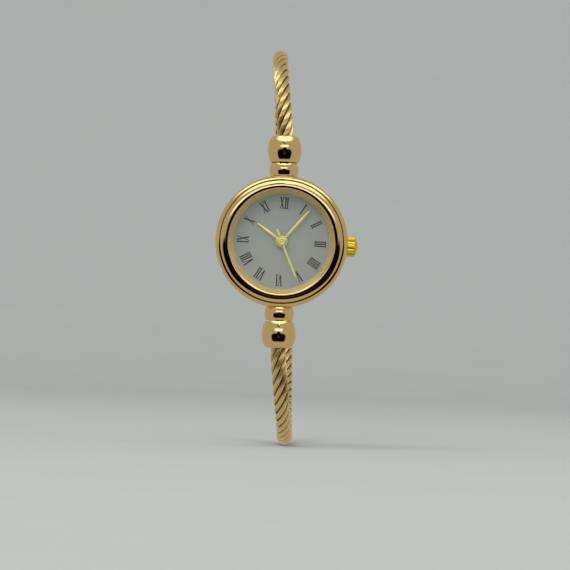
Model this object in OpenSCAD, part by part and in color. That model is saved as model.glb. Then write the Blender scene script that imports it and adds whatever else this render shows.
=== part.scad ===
// Ladies' bangle watch: a small round case closed into a loop of twisted cable.
// The loop is hinged on a bead at 12 o'clock and hooks over a bar in a bead at 6 o'clock.
// Millimetres. +X is the crown side, the dial faces -Y, +Z is 12 o'clock.
// The origin is the middle of the wrist opening.

/* [Wrist opening] */
// Clear depth, from the case back to the cable behind the wrist
opening_depth = 47; // [42:1:56]
// Clear height, from the cable above the wrist to the cable below it
opening_height = 64; // [60:0.2:74]
// Depth of the tighter front corners of the loop, from the bead line to the highest point
corner_depth = 18; // [14:1:20]
// How far the highest point of the loop leans to the side opposite the crown
loop_lean = 1.45; // [0:0.05:2]
// How much further the upper back of the loop sways to that side, as a share of the lean
back_sway = 0.2; // [0:0.1:1.4]

/* [Cable] */
// Diameter over the six strands
cable_d = 2.8; // [2.6:0.02:3.2]
// Length of one full turn of a strand
cable_lay = 11.3; // [9:0.1:14]
// Diameter of the straight wire in the middle
core_wire_d = 1.04; // [0.96:0.02:1.1]
// Clearance between a strand and its neighbours
strand_fit = 0.02; // [0.01:0.01:0.05]

/* [Case] */
// Diameter over the edge roll
case_d = 22.3; // [21.8:0.1:24]
// Thickness of the side wall
case_wall = 1.05; // [0.85:0.05:1.2]
// How far the edge roll stands out from the side wall
roll_stand = 0.3; // [0.1:0.05:0.4]
// Diameter of the edge roll's own section
edge_roll_d = 0.66; // [0.5:0.02:0.7]
// Width of the broad band between the roll and the crystal's seat
band_w = 1.36; // [1.3:0.02:1.5]
// Radius of the band's dome, which is highest at its inner edge and falls outward
band_dome_r = 1.8; // [1.6:0.1:2.4]
// Diameter of the rounding at the band's inner edge
lip_d = 0.28; // [0.2:0.02:0.3]
// How far the band stands above the crystal
band_rise = 0.25; // [0.15:0.05:0.4]
// Width of the bevel at the back edge
back_bevel = 0.5; // [0.2:0.1:0.6]

/* [Crystal and dial] */
// Thickness of the crystal
crystal_t = 0.8; // [0.6:0.1:1.2]
// Width of the gasket ring round the crystal
gasket_w = 0.24; // [0.2:0.02:0.3]
// Width of the sloping ring between the crystal and the dial, with its hidden rim
rehaut_w = 1.2; // [0.9:0.05:1.6]
// Thickness of the dial plate
dial_t = 0.4; // [0.3:0.05:0.6]
// How far the dial, movement and crown sit turned clockwise from the line of the beads, in degrees
dial_turn = 2; // [0:0.5:4]

/* [Hands] */
// Length of the hour hand from the centre
hour_len = 4.95; // [4:0.05:5.5]
// Length of the minute hand from the centre
minute_len = 6.87; // [6:0.05:7.4]
// Length of the second hand from the centre
second_len = 6.3; // [5.5:0.05:7.4]
// Length of the second hand's tail
second_tail = 2.1; // [1.5:0.05:3]
// Greatest width of the hour and minute hands
hand_w = 0.54; // [0.4:0.02:0.7]
// Greatest width of the second hand
second_w = 0.4; // [0.3:0.02:0.5]
// Greatest width of the second hand's tail
tail_w = 0.5; // [0.4:0.02:0.6]
// Thickness of the hour and minute hands at the ridge
hand_t = 0.16; // [0.1:0.01:0.2]
// Free height between the dial and the hour hand
hand_lift = 0.25; // [0.2:0.05:0.4]
// Step from one hand up to the next
hand_step = 0.24; // [0.2:0.02:0.3]
// Hour shown at rest
show_hour = 10; // [0:1:11]
// Minute shown at rest
show_minute = 6.43; // [0:0.01:59.99]

/* [Crown] */
// Diameter over the flutes
crown_d = 2.9; // [2.6:0.1:3.4]
// Length of the crown
crown_len = 1.95; // [1.6:0.05:2.4]
// Number of flutes
crown_flutes = 24; // [16:2:30]
// Travel of the crown when it is pulled to set the time
crown_pull = 1; // [0.6:0.1:1.2]
// Diameter of the stem
stem_d = 0.84; // [0.7:0.02:0.9]

/* [Beads and balls] */
// Diameter of the two small beads beside the case
bead_d = 5; // [4.6:0.1:5.2]
// Distance of a bead's centre from the case's side wall
bead_stand = 1.25; // [1.1:0.05:1.5]
// Greatest diameter of the two larger balls
ball_d = 5.8; // [5.2:0.1:6]
// Distance from a bead's centre to the rim of its ball
ball_rim_h = 1.3; // [1.2:0.05:1.5]
// Distance from a bead's centre to the ball's widest ring
ball_mid_h = 3.5; // [3.2:0.05:3.8]
// Distance from a bead's centre to the ball's flat end, where the cable leaves
ball_end_h = 5.8; // [5.5:0.05:6.2]
// Diameter of that flat end
ball_end_d = 4.4; // [4:0.1:4.8]
// Width of the ball's rim round its cup
ball_rim_w = 0.2; // [0.1:0.05:0.3]
// Depth of the socket that holds the cable
socket_depth = 2.3; // [1.8:0.1:2.4]

/* [Hinge and latch] */
// Diameter of the hinge pin and of the latch bar
pin_d = 0.9; // [0.7:0.05:1]
// Thickness of the hinge tongue and of the latch hook
tongue_t = 1.4; // [1.2:0.1:1.6]
// Width of the tongue's stem
tongue_w = 1.6; // [1.3:0.1:1.7]
// Diameter of the eye round the hinge pin, and of the hook round the bar
eye_d = 2.1; // [1.9:0.1:2.2]
// Angle through which the loop opens
open_angle = 45; // [30:1:45]
// Running clearance at each side of the tongue, and round the pin
hinge_fit = 0.05; // [0.03:0.01:0.08]
// Clearance between a bead and the cup that turns over it
cup_fit = 0.07; // [0.05:0.01:0.1]

/* [Movement] */
// Width of the ring that centres the movement in the case
holder_w = 0.75; // [0.6:0.05:1]
// Thickness of the main plate
plate_t = 2.15; // [2.1:0.05:2.4]
// Thickness of the train bridge
bridge_t = 0.45; // [0.35:0.05:0.6]
// Thickness of the button cell
battery_t = 2.1; // [1.6:0.05:2.1]
// Thickness of the case back's plate
back_t = 0.68; // [0.5:0.02:0.9]

/* [Hidden] */
$fn = 64;

// A cut that passes right through reaches this much past both faces
past = 1;
// Clearance between still pieces that slide together
slip = 0.03;
// Radial clearance of small shafts
shaft_fit = 0.04;

gold = "#c3a365";
pale_gold = "#cdb27c";
yellow_gold = "#dfbf3a";
steel = "#b9bcc0";
brass = "#bd9d4e";

// Heights above the outer face of the case back
head_t = 0.25;
strap_t = 0.15;
back_room = 0.37;
z_head = back_t + back_room;
z_bridge = z_head + head_t;
z_plate = z_bridge + bridge_t;
z_plate_top = z_plate + plate_t;
z_dial = z_plate_top + 0.05;
z_dial_top = z_dial + dial_t;
z_hour = z_dial_top + hand_lift;
z_minute = z_hour + hand_step;
z_second = z_minute + hand_step;
crystal_room = 0.47;
z_crystal = z_second + crystal_room;
z_crystal_top = z_crystal + crystal_t;
z_band = z_crystal_top + band_rise;
roll_drop = 0.82;
z_roll = z_band - roll_drop;
z_back_edge = 0.25;
z_stem = z_plate + 0.85;
z_bead = 3.3;

// Radii of the case
case_r = case_d / 2;
side_r = case_r - roll_stand;
bore_r = side_r - case_wall;
roll_c = case_r - edge_roll_d / 2;
band_out = case_r - edge_roll_d + 0.03;
lip_in = band_out - band_w;
lip_c = lip_in + lip_d / 2;
crystal_r = lip_in - gasket_w - slip / 2;
crystal_bevel = 0.12;
ledge_t = 0.35;
ledge_r = crystal_r - 0.04;
dial_r = bore_r - 0.45;
back_step = 0.25;
seat_depth = back_t + 0.02;
rim_t = 0.3;
rim_h = 0.32;
back_gasket_w = 0.34;
dial_view_r = dial_r - rehaut_w;

// The movement's plan is drawn in units of its own, 8.9 of them from the centre to the edge,
// so it grows and shrinks with the case. Every place and radius of the plan carries the unit.
movement_r = bore_r - 0.05 - holder_w;
plan = movement_r / 8.9;
movement_w = 15.3 * plan;
battery_r = 2.9 * plan;
wheel_room = 0.2 * plan;

// Layout of the gear train, seen from the dial side
wheel_t = 0.15;
pinion_t = 0.25;
centre_teeth = 64;
third_pinion_teeth = 8;
centre_module = 0.08 * plan;
third_dist = centre_module * (centre_teeth + third_pinion_teeth) / 2;
third_teeth = 60;
second_pinion_teeth = 8;
third_module = 2 * third_dist / (third_teeth + second_pinion_teeth);
second_teeth = 48;
mid_pinion_teeth = 8;
second_module = 0.1 * plan;
mid_dist = second_module * (second_teeth + mid_pinion_teeth) / 2;
mid_teeth = 40;
rotor_teeth = 8;
mid_module = 0.09 * plan;
rotor_dist = mid_module * (mid_teeth + rotor_teeth) / 2;
cannon_teeth = 12;
minute_teeth = 36;
cannon_module = 0.12 * plan;
motion_dist = cannon_module * (cannon_teeth + minute_teeth) / 2;
minute_pinion_teeth = 10;
hour_teeth = 40;
hour_module = 2 * motion_dist / (minute_pinion_teeth + hour_teeth);
third_dir = 60;
mid_dir = 240;
rotor_dir = 270;
third_at = polar(third_dist, third_dir);
mid_at = polar(mid_dist, mid_dir);
rotor_at = mid_at + polar(rotor_dist, rotor_dir);
minute_at = [motion_dist, 0];
battery_at = [battery_r + wheel_room - movement_r, 0];
arbor_r = 0.12 * plan;
magnet_r = 0.8 * plan;
stator_r = magnet_r + 0.65 * plan;
train_pocket_r = tip_r(centre_module, centre_teeth) + wheel_room;
motion_pocket_r = tip_r(hour_module, hour_teeth) + wheel_room;

// Levels of the train between the bridge and the main plate's ceiling
z_ceiling = z_plate + 1.1;
z_second_wheel = z_plate + 0.1;
z_third_wheel = z_plate + 0.45;
z_centre_wheel = z_plate + 0.75;
z_motion_floor = z_plate_top - 0.48;
z_minute_wheel = z_motion_floor + 0.08;
z_hour_wheel = z_minute_wheel + wheel_t + 0.05;
z_pivot = z_bridge + 0.15;
z_battery = z_bridge - 0.05;
post_r = 0.2 * plan;
board_t = 0.3;
chip_t = 0.42;
stem_in = 5.1 * plan;

// Tubes that carry the hands, one inside the next
centre_tube_in = arbor_r + shaft_fit;
centre_tube_r = 0.3 * plan;
cannon_r = 0.45 * plan;
hour_tube_in = cannon_r + shaft_fit;
hour_tube_r = 0.68 * plan;
dial_hole_r = hour_tube_r + 0.1;

screw_r = 0.3 * plan;
screw_head_r = 0.55 * plan;
bridge_screws = plan * [[3.9, -2.2], [-2.7, 3.6], [5.3, 2.6]];
strap_screw = plan * [-6.3, 4.3];
coil_y = -6.3 * plan;
coil_r = 0.66 * plan;
coil_x = [-0.25 * plan, 4.05 * plan];
z_coil = z_plate + 0.4;
quartz_at = plan * [-4.5, 6];
quartz_len = 4.2 * plan;
quartz_r = 0.5 * plan;

// Places of the beads and of the loop, in the frame of the wrist opening
back_y = -opening_depth / 2;
bead_y = back_y - z_bead;
bead_z = side_r + bead_stand;
bead_r = bead_d / 2;
ball_r = ball_d / 2;
pin_r = pin_d / 2;
slot_w = tongue_t + 2 * hinge_fit;
eye_r = eye_d / 2;
seam_gap = 0.12;
tongue_seat = 0.8;
cable_r = cable_d / 2;
socket_r = cable_r + 0.04;
end_gap = 0.3;

function polar(r, a) = [r * cos(a), r * sin(a)];
function unit(v) = v / norm(v);
function tip_r(size, teeth) = size * (teeth / 2 + 0.85);

// The loop's centre line: straight out of the ball, round a tight front corner to the highest
// point, then round the wide back. It leans to one side above and to the other side below, so
// the lower half is the upper half turned over both ways.
top_z = opening_height / 2 + cable_r;
rear_y = opening_depth / 2 + cable_r;
corner_z = bead_z + ball_end_h;
start_z = bead_z + ball_end_h - socket_depth + end_gap;
crest_y = bead_y + corner_depth;
rise = top_z - corner_z;
bend_start = 1.5;
arc_steps = 30;
function lean_at(h) = loop_lean * (h * h / (h + bend_start)) / (rise * rise / (rise + bend_start));
half_line = concat(
    [[0, bead_y, start_z]],
    [for (i = [0 : arc_steps]) let (a = 90 * i / arc_steps)
        [-lean_at(rise * sin(a)), crest_y - corner_depth * cos(a), corner_z + rise * sin(a)]],
    [for (i = [1 : arc_steps]) let (a = 90 * i / arc_steps)
        [-loop_lean * cos(a) * (1 + back_sway * sin(a) * sin(a)),
            crest_y + (rear_y - crest_y) * sin(a), top_z * cos(a)]]);
half_lengths = [for (i = 0, s = 0; i < len(half_line);
    s = i + 1 < len(half_line) ? s + norm(half_line[i + 1] - half_line[i]) : s, i = i + 1) s];
half_length = half_lengths[len(half_lengths) - 1];
cable_length = 2 * half_length;
aside_at = [for (i = [0 : len(half_line) - 1]) [half_lengths[i], half_line[i][0]]];
depth_at = [for (i = [0 : len(half_line) - 1]) [half_lengths[i], half_line[i][1]]];
height_at = [for (i = [0 : len(half_line) - 1]) [half_lengths[i], half_line[i][2]]];

// Place on the centre line at a distance along it from the upper end
function route(s) =
    let (h = s <= half_length ? s : cable_length - s, side = s <= half_length ? 1 : -1)
    h < 0 ? [0, bead_y, side * (start_z + h)]
        : [side * lookup(h, aside_at), lookup(h, depth_at), side * lookup(h, height_at)];
function heading(s) = unit(route(s + 0.4) - route(s - 0.4));
function across(s) = unit(cross(heading(s), [1, 0, 0]));
function beside(s) = cross(heading(s), across(s));

// Six strands wound round the core wire. Their section is a circle across the strand's own
// run, so the tangent of the winding angle sets how thick they can be before they touch.
strand_c = (cable_r + core_wire_d / 2) / 2;
winding_angle = atan(2 * PI * strand_c / cable_lay);
strand_r = (cable_r - core_wire_d / 2) / 2 - strand_fit;
rings_per_turn = 10;
strand_rings = ceil(rings_per_turn * cable_length / cable_lay);
strand_sides = 6;
core_rings = 66;
core_sides = 8;

function strand_mid(s, phase) =
    let (a = 360 * s / cable_lay + phase)
    route(s) + strand_c * (cos(a) * across(s) + sin(a) * beside(s));
function strand_out(s, phase) =
    let (a = 360 * s / cable_lay + phase)
    cos(a) * across(s) + sin(a) * beside(s);
function strand_ring(s, phase) =
    let (c = strand_mid(s, phase), out = strand_out(s, phase),
        run = unit(strand_mid(s + 0.2, phase) - strand_mid(s - 0.2, phase)),
        side = unit(cross(run, out)), up = cross(side, run))
    [for (k = [0 : strand_sides - 1]) let (b = 360 * k / strand_sides)
        c + strand_r * (cos(b) * up + sin(b) * side)];
function core_ring(s) =
    [for (k = [0 : core_sides - 1]) let (b = 360 * k / core_sides)
        route(s) + core_wire_d / 2 * (cos(b) * across(s) + sin(b) * beside(s))];

// A closed tube from a list of rings with the same number of points
module tube(rings) {
    n = len(rings[0]);
    last = len(rings) - 1;
    points = [for (r = rings) each r];
    sides = [for (i = [0 : last - 1]) for (k = [0 : n - 1])
        let (a = i * n + k, b = i * n + (k + 1) % n)
        each [[a, a + n, b], [b, a + n, b + n]]];
    first_cap = [for (k = [1 : n - 2]) [0, k, k + 1]];
    last_cap = [for (k = [1 : n - 2]) [last * n, last * n + k + 1, last * n + k]];
    polyhedron(points, concat(sides, first_cap, last_cap), convexity = 10);
}

// Case frame: x to the crown side, y to 12 o'clock, z out of the dial, z = 0 on the case back
module on_case() {
    translate([0, back_y, 0]) rotate([90, 0, 0]) children();
}

// Case frame turned to the dial's own 12 o'clock
module on_dial() {
    on_case() rotate([0, 0, -dial_turn]) children();
}

// Bead frame: z away from the case along the cable. side is 1 at 12 o'clock and -1 at 6 o'clock.
module on_bead(side) {
    translate([0, bead_y, side * bead_z]) mirror([0, 0, side > 0 ? 0 : 1]) children();
}

// A flat bar between two points of the dial plane
module bar(from, to, width) {
    run = to - from;
    translate(from) rotate(atan2(run[1], run[0]))
        translate([0, -width / 2]) square([norm(run), width]);
}

// A toothed disc. The first tooth points along the direction given.
module gear(teeth, size, thick, first) {
    pitch = 360 / teeth;
    root = size * (teeth / 2 - 1.15);
    tip = size * (teeth / 2 + 0.85);
    linear_extrude(thick)
        polygon([for (i = [0 : teeth - 1]) let (a = first + i * pitch)
            each [polar(root, a - 0.3 * pitch), polar(tip, a - 0.11 * pitch),
                polar(tip, a + 0.11 * pitch), polar(root, a + 0.3 * pitch)]]);
}

// First tooth of a wheel whose gap faces a neighbour that lies in a direction
function gap_towards(direction, teeth) = direction + 180 / teeth;

module cylinder_at(place, r, z0, z1) {
    translate([place[0], place[1], z0]) cylinder(r = r, h = z1 - z0);
}

module ring_at(r_in, r_out, z0, z1) {
    difference() {
        translate([0, 0, z0]) cylinder(r = r_out, h = z1 - z0);
        translate([0, 0, z0 - past]) cylinder(r = r_in, h = z1 - z0 + 2 * past);
    }
}

// Half section of the case's outside, filled in to the axis
module case_outside() {
    polygon([[0, z_back_edge], [side_r - back_bevel, z_back_edge],
        [side_r, z_back_edge + back_bevel * 1.3], [side_r, z_roll], [0, z_roll]]);
    translate([roll_c, z_roll]) circle(d = edge_roll_d);
    intersection() {
        translate([lip_c, z_band - band_dome_r]) circle(r = band_dome_r, $fn = 180);
        square_between(lip_c, band_out, z_roll - past, z_band);
    }
    translate([lip_c, z_band - lip_d / 2]) circle(d = lip_d);
    square_between(0, lip_c, z_roll, z_band - lip_d / 2);
}

module square_between(x0, x1, y0, y1) {
    translate([x0, y0]) square([x1 - x0, y1 - y0]);
}

// Half section of what is bored out of the case
module case_inside() {
    square_between(-past, bore_r + back_step, z_back_edge - past, seat_depth);
    square_between(-past, bore_r, z_back_edge - past, z_plate_top);
    square_between(-past, dial_r + slip, z_back_edge, z_crystal - ledge_t);
    square_between(-past, ledge_r, z_back_edge, z_band + past);
    square_between(-past, lip_in, z_crystal, z_band + past);
}

module case_filled() {
    intersection() {
        case_outside();
        square_between(0, case_r + past, -past, z_band + past);
    }
}

module case_blank() {
    on_case() rotate_extrude() case_filled();
}

module case() {
    color(gold) difference() {
        on_case() rotate_extrude() difference() {
            case_filled();
            case_inside();
        }
        on_dial() translate([0, 0, z_stem]) rotate([0, 90, 0]) cylinder(r = tube_r, h = case_d);
        on_case() rotate([0, 0, 225]) translate([bore_r + back_step, 0, z_back_edge])
            cube([2.6, 2.4, 0.3], center = true);
    }
}

module crystal() {
    color("#dfe6e6", 0.35) on_case() rotate_extrude() polygon([[0, z_crystal],
        [crystal_r, z_crystal], [crystal_r, z_crystal_top - crystal_bevel],
        [crystal_r - crystal_bevel, z_crystal_top], [0, z_crystal_top]]);
}

module crystal_gasket() {
    color("#e9e6dc") on_case()
        ring_at(crystal_r + slip / 4, crystal_r + gasket_w, z_crystal, z_crystal_top - 0.05);
}

// The matt sloping ring between the crystal and the dial
module rehaut_ring() {
    z0 = z_dial_top + 0.01;
    color(pale_gold) on_case() rotate_extrude() polygon([[dial_view_r, z0], [dial_r, z0],
        [dial_r, z_crystal - ledge_t - 0.02], [ledge_r - slip, z_crystal - ledge_t - 0.02],
        [ledge_r - slip, z_crystal - 0.05], [ledge_r - 0.1, z_crystal - 0.05],
        [dial_view_r, z0 + 0.08]]);
}

module dial() {
    color("#b5b7b3") on_dial() ring_at(dial_hole_r, dial_r, z_dial, z_dial_top);
}

// The push-in back: a plate with a rim that grips the gasket
module case_back() {
    rim_r = bore_r - back_gasket_w - 0.06;
    color("#c9b27a") on_case() difference() {
        rotate_extrude() polygon([[0, 0], [bore_r + back_step - 0.33, 0],
            [bore_r + back_step - slip, 0.3], [bore_r + back_step - slip, back_t],
            [rim_r, back_t], [rim_r, back_t + rim_h], [rim_r - rim_t, back_t + rim_h],
            [rim_r - rim_t, back_t], [0, back_t]]);
        rotate([0, 0, 225]) translate([bore_r + back_step, 0, 0])
            cube([1.2, 2.4, 0.6], center = true);
    }
}

module back_gasket() {
    color("#2c2c2c") on_case() ring_at(bore_r - back_gasket_w - slip, bore_r - slip,
        back_t + 0.03, back_t + 0.3);
}

module movement_outline(grow) {
    intersection() {
        circle(r = movement_r + grow);
        square([2 * movement_r + past, movement_w + 2 * grow], center = true);
    }
}

module movement_holder() {
    color("#d9d9d4") on_dial() difference() {
        translate([0, 0, z_head]) linear_extrude(z_plate_top - z_head) difference() {
            circle(r = bore_r - 0.05);
            movement_outline(0.05);
        }
        translate([0, 0, z_stem]) rotate([0, 90, 0]) cylinder(r = tube_r + 0.1, h = case_d);
    }
}

// The main plate carries the train in a pocket cut from the back and the motion work in a
// recess cut from the dial side
module main_plate() {
    color(brass) on_dial() {
        difference() {
            translate([0, 0, z_plate]) linear_extrude(plate_t) movement_outline(0);
            translate([0, 0, z_plate - past]) linear_extrude(z_ceiling - z_plate + past) {
                circle(r = train_pocket_r);
                translate(third_at) circle(r = tip_r(third_module, third_teeth) + wheel_room);
                translate(mid_at) circle(r = tip_r(mid_module, mid_teeth) + wheel_room);
                translate(rotor_at) circle(r = stator_r + wheel_room);
                translate(plan * [-2.1, -7]) square(plan * [7.3, 2.7]);
                translate(quartz_at - wheel_room * [1, 1] - [0, quartz_r])
                    square([quartz_len, 2 * quartz_r] + 2 * wheel_room * [1, 1]);
            }
            cylinder_at(battery_at, battery_r + 0.05, z_plate - past, z_battery + battery_t + 0.05);
            cylinder_at([0, 0], motion_pocket_r, z_motion_floor, z_plate_top + past);
            cylinder_at(minute_at, tip_r(cannon_module, minute_teeth) + wheel_room,
                z_motion_floor, z_plate_top + past);
            cylinder_at([0, 0], centre_tube_r + 0.05, z_plate, z_plate_top);
            for (place = [third_at, mid_at, rotor_at])
                cylinder_at(place, arbor_r + shaft_fit, z_plate, z_ceiling + 0.3);
            for (place = concat(bridge_screws, [strap_screw]))
                cylinder_at(place, screw_r, z_plate - past, z_plate + 0.9);
            translate([stem_in - 0.2, 0, z_stem]) rotate([0, 90, 0])
                cylinder(r = stem_d / 2 + 0.06, h = case_d);
        }
        cylinder_at(minute_at, post_r, z_motion_floor - 0.1, z_plate_top - 0.04);
    }
}

module train_bridge() {
    color(brass) on_dial() translate([0, 0, z_bridge]) linear_extrude(bridge_t) difference() {
        union() {
            circle(r = train_pocket_r + 0.5 * plan);
            translate(third_at) circle(r = 1.1 * plan);
            translate(rotor_at) circle(r = 0.75 * plan);
            bar([0, 0], rotor_at, 1.4 * plan);
            for (place = bridge_screws) {
                translate(place) circle(r = 0.85 * plan);
                bar([0, 0], place, 1.5 * plan);
            }
        }
        translate(battery_at) circle(r = battery_r + 0.1);
        for (place = bridge_screws) translate(place) circle(r = screw_r);
        for (place = [[0, 0], third_at, mid_at, rotor_at])
            translate(place) circle(r = arbor_r + shaft_fit);
    }
}

// One slotted screw with its head's underside at a height
module screw(place, z) {
    difference() {
        union() {
            cylinder_at(place, screw_head_r, z - head_t, z);
            cylinder_at(place, screw_r, z, z_plate + 0.8);
        }
        translate([place[0], place[1], z - head_t])
            cube([4 * screw_head_r, 0.16, 0.2], center = true);
    }
}

module movement_screws() {
    color(steel) on_dial() {
        for (place = bridge_screws) screw(place, z_bridge);
        screw(strap_screw, z_plate - strap_t);
    }
}

module circuit_board() {
    color("#3f6b45") on_dial() translate([0, 0, z_plate - board_t]) linear_extrude(board_t)
        intersection() {
            movement_outline(-board_t);
            translate(plan * [-4.3, 4.75]) square(plan * [10, 3]);
        }
}

module driver_chip() {
    color("#26272a") on_dial() translate([plan, 5.4 * plan, z_plate - board_t - chip_t])
        cube([1.6 * plan, 1.4 * plan, chip_t]);
}

// The crystal oscillator's can lies in its own pocket under the board
module quartz_can() {
    color(steel) on_dial() translate([quartz_at[0], quartz_at[1], z_plate + quartz_r + 0.05])
        rotate([0, 90, 0]) cylinder(r = quartz_r, h = quartz_len);
}

module battery() {
    color(steel) on_dial() translate([battery_at[0], battery_at[1], z_battery]) rotate_extrude()
        polygon([[0, 0], [battery_r, 0], [battery_r, battery_t - 0.35],
            [battery_r - 0.5, battery_t - 0.2], [battery_r - 0.5, battery_t],
            [0, battery_t]]);
}

// A bent strap: a foot screwed to the plate, a riser, and a tongue over the cell
module battery_strap() {
    z_top = z_battery - strap_t - 0.02;
    place = plan * [-7.1, 3.1];
    w = 1.6 * plan;
    tongue = 4.6 * plan;
    color(steel) on_dial() difference() {
        union() {
            translate([place[0], place[1], z_plate - strap_t]) cube([w, 2 * plan, strap_t]);
            translate([place[0], place[1], z_top]) cube([w, strap_t, z_plate - z_top]);
            translate([place[0], place[1] - tongue, z_top]) cube([w, tongue + strap_t, strap_t]);
        }
        cylinder_at(strap_screw, screw_r, z_plate - past, z_plate + past);
    }
}

module stator() {
    color(steel) on_dial() translate([0, 0, z_plate + 0.05]) linear_extrude(0.25) difference() {
        union() {
            translate(rotor_at) circle(r = stator_r);
            translate([rotor_at[0] - 0.5 * plan, coil_y - 0.4 * plan]) square(plan * [1.4, 2.1]);
            translate([rotor_at[0], -5.3 * plan]) square(plan * [6.5, 0.8]);
            translate([coil_x[1] + 0.25 * plan, coil_y - 0.4 * plan]) square(plan * [0.8, 2.1]);
        }
        translate(rotor_at) circle(r = magnet_r + 0.12 * plan);
    }
}

module coil_core() {
    color(steel) on_dial() translate([coil_x[0] - 0.95 * plan, coil_y - 0.3 * plan, z_plate + 0.3])
        cube([coil_x[1] - coil_x[0] + 2 * plan, 0.6 * plan, 0.2]);
}

module coil() {
    color("#a4562b") difference() {
        on_dial() intersection() {
            translate([coil_x[0], coil_y, z_coil]) rotate([0, 90, 0])
                cylinder(r = coil_r, h = coil_x[1] - coil_x[0]);
            translate([coil_x[0], coil_y - coil_r, z_plate])
                cube([coil_x[1] - coil_x[0], 2 * coil_r, 2 * coil_r]);
        }
        coil_core();
    }
}

// The rotor: a magnet in the stator's eye and a pinion above it
module rotor() {
    color("#55585c") on_dial() {
        cylinder_at(rotor_at, magnet_r, z_plate + 0.05, z_plate + 0.3);
        cylinder_at(rotor_at, arbor_r, z_pivot, z_ceiling + 0.25);
        translate([rotor_at[0], rotor_at[1], z_plate + 0.3])
            gear(rotor_teeth, mid_module, 0.35, rotor_dir + 180);
    }
}

module intermediate_wheel() {
    color(brass) on_dial() {
        cylinder_at(mid_at, arbor_r, z_pivot, z_ceiling + 0.25);
        translate([mid_at[0], mid_at[1], z_plate + 0.42])
            gear(mid_teeth, mid_module, wheel_t, gap_towards(rotor_dir, mid_teeth));
        translate([mid_at[0], mid_at[1], z_plate + 0.05])
            gear(mid_pinion_teeth, second_module, 0.37,
                gap_towards(mid_dir + 180, mid_pinion_teeth));
    }
}

// The second wheel turns once a minute. Its arbor runs up through both tubes to the hand.
module second_wheel() {
    color(brass) on_dial() {
        cylinder_at([0, 0], arbor_r, z_pivot, z_second + 0.1);
        translate([0, 0, z_second_wheel]) gear(second_teeth, second_module, wheel_t, mid_dir);
        translate([0, 0, z_second_wheel])
            gear(second_pinion_teeth, third_module, z_third_wheel + pinion_t - z_second_wheel - 0.05,
                gap_towards(third_dir, second_pinion_teeth));
    }
}

module third_wheel() {
    color(brass) on_dial() {
        cylinder_at(third_at, arbor_r, z_pivot, z_ceiling + 0.25);
        translate([third_at[0], third_at[1], z_third_wheel])
            gear(third_teeth, third_module, wheel_t, third_dir + 180);
        translate([third_at[0], third_at[1], z_third_wheel])
            gear(third_pinion_teeth, centre_module, z_ceiling - z_third_wheel - 0.15,
                gap_towards(third_dir + 180, third_pinion_teeth));
    }
}

module centre_wheel() {
    color(brass) on_dial() difference() {
        union() {
            translate([0, 0, z_centre_wheel])
                gear(centre_teeth, centre_module, wheel_t, third_dir);
            cylinder_at([0, 0], centre_tube_r, z_centre_wheel, z_plate_top);
        }
        cylinder_at([0, 0], centre_tube_in, z_plate, z_plate_top + past);
    }
}

module cannon_pinion() {
    z0 = z_motion_floor + 0.06;
    color(steel) on_dial() difference() {
        union() {
            translate([0, 0, z0]) gear(cannon_teeth, cannon_module, 0.19, 0);
            cylinder_at([0, 0], cannon_r, z0, z_minute + hand_t);
        }
        cylinder_at([0, 0], centre_tube_r, z0 - past, z_plate_top);
        cylinder_at([0, 0], centre_tube_in, z0, z_minute + past);
    }
}

module minute_wheel() {
    color(brass) on_dial() translate([minute_at[0], minute_at[1], 0]) difference() {
        union() {
            translate([0, 0, z_minute_wheel])
                gear(minute_teeth, cannon_module, wheel_t, gap_towards(180, minute_teeth));
            translate([0, 0, z_minute_wheel])
                gear(minute_pinion_teeth, hour_module, 0.36,
                    gap_towards(180, minute_pinion_teeth));
        }
        cylinder_at([0, 0], post_r + shaft_fit, z_plate, z_plate_top + past);
    }
}

module hour_wheel() {
    color(brass) on_dial() difference() {
        union() {
            translate([0, 0, z_hour_wheel]) gear(hour_teeth, hour_module, wheel_t, 0);
            cylinder_at([0, 0], hour_tube_r, z_hour_wheel, z_hour + hand_t);
        }
        cylinder_at([0, 0], hour_tube_in, z_plate, z_hour + past);
    }
}

// A blade that points along y, widest part way out, with a ridge down its middle and a tip half
// as wide. It's thin at the edges so that both flanks of the ridge are steep.
module blade(length, root_w, wide_w, wide_at, thick) {
    edge = 0.1 * thick;
    tip_w = wide_w / 2;
    tip_y = length - tip_w / 2;
    intersection() {
        linear_extrude(thick) polygon([[-root_w / 2, 0], [-wide_w / 2, wide_at * length],
            [-tip_w / 2, tip_y], [0, length], [tip_w / 2, tip_y],
            [wide_w / 2, wide_at * length], [root_w / 2, 0]]);
        rotate([90, 0, 180]) linear_extrude(length) polygon([[-wide_w / 2, 0], [wide_w / 2, 0],
            [wide_w / 2, edge], [0, thick], [-wide_w / 2, edge]]);
    }
}

minute_angle = 6 * show_minute;
hour_angle = 30 * show_hour + minute_angle / 12;
second_angle = 360 * (show_minute - floor(show_minute));
root_w = 0.34;
hour_hub_r = 1;
minute_hub_r = 0.85;
second_hub_r = 0.62;
second_hub_t = 0.12;
second_t = 0.1;
cap_r = 0.75;
cap_rise = 0.2;

module hour_hand() {
    color(yellow_gold) on_dial() translate([0, 0, z_hour]) difference() {
        rotate([0, 0, -hour_angle]) {
            blade(hour_len, root_w, hand_w, 0.6, hand_t);
            cylinder(r = hour_hub_r, h = hand_t);
        }
        translate([0, 0, -past]) cylinder(r = hour_tube_r, h = 2 * past);
    }
}

module minute_hand() {
    color(yellow_gold) on_dial() translate([0, 0, z_minute]) difference() {
        rotate([0, 0, -minute_angle]) {
            blade(minute_len, root_w, hand_w, 0.65, hand_t);
            cylinder(r = minute_hub_r, h = hand_t);
        }
        translate([0, 0, -past]) cylinder(r = cannon_r, h = 2 * past);
    }
}

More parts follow.
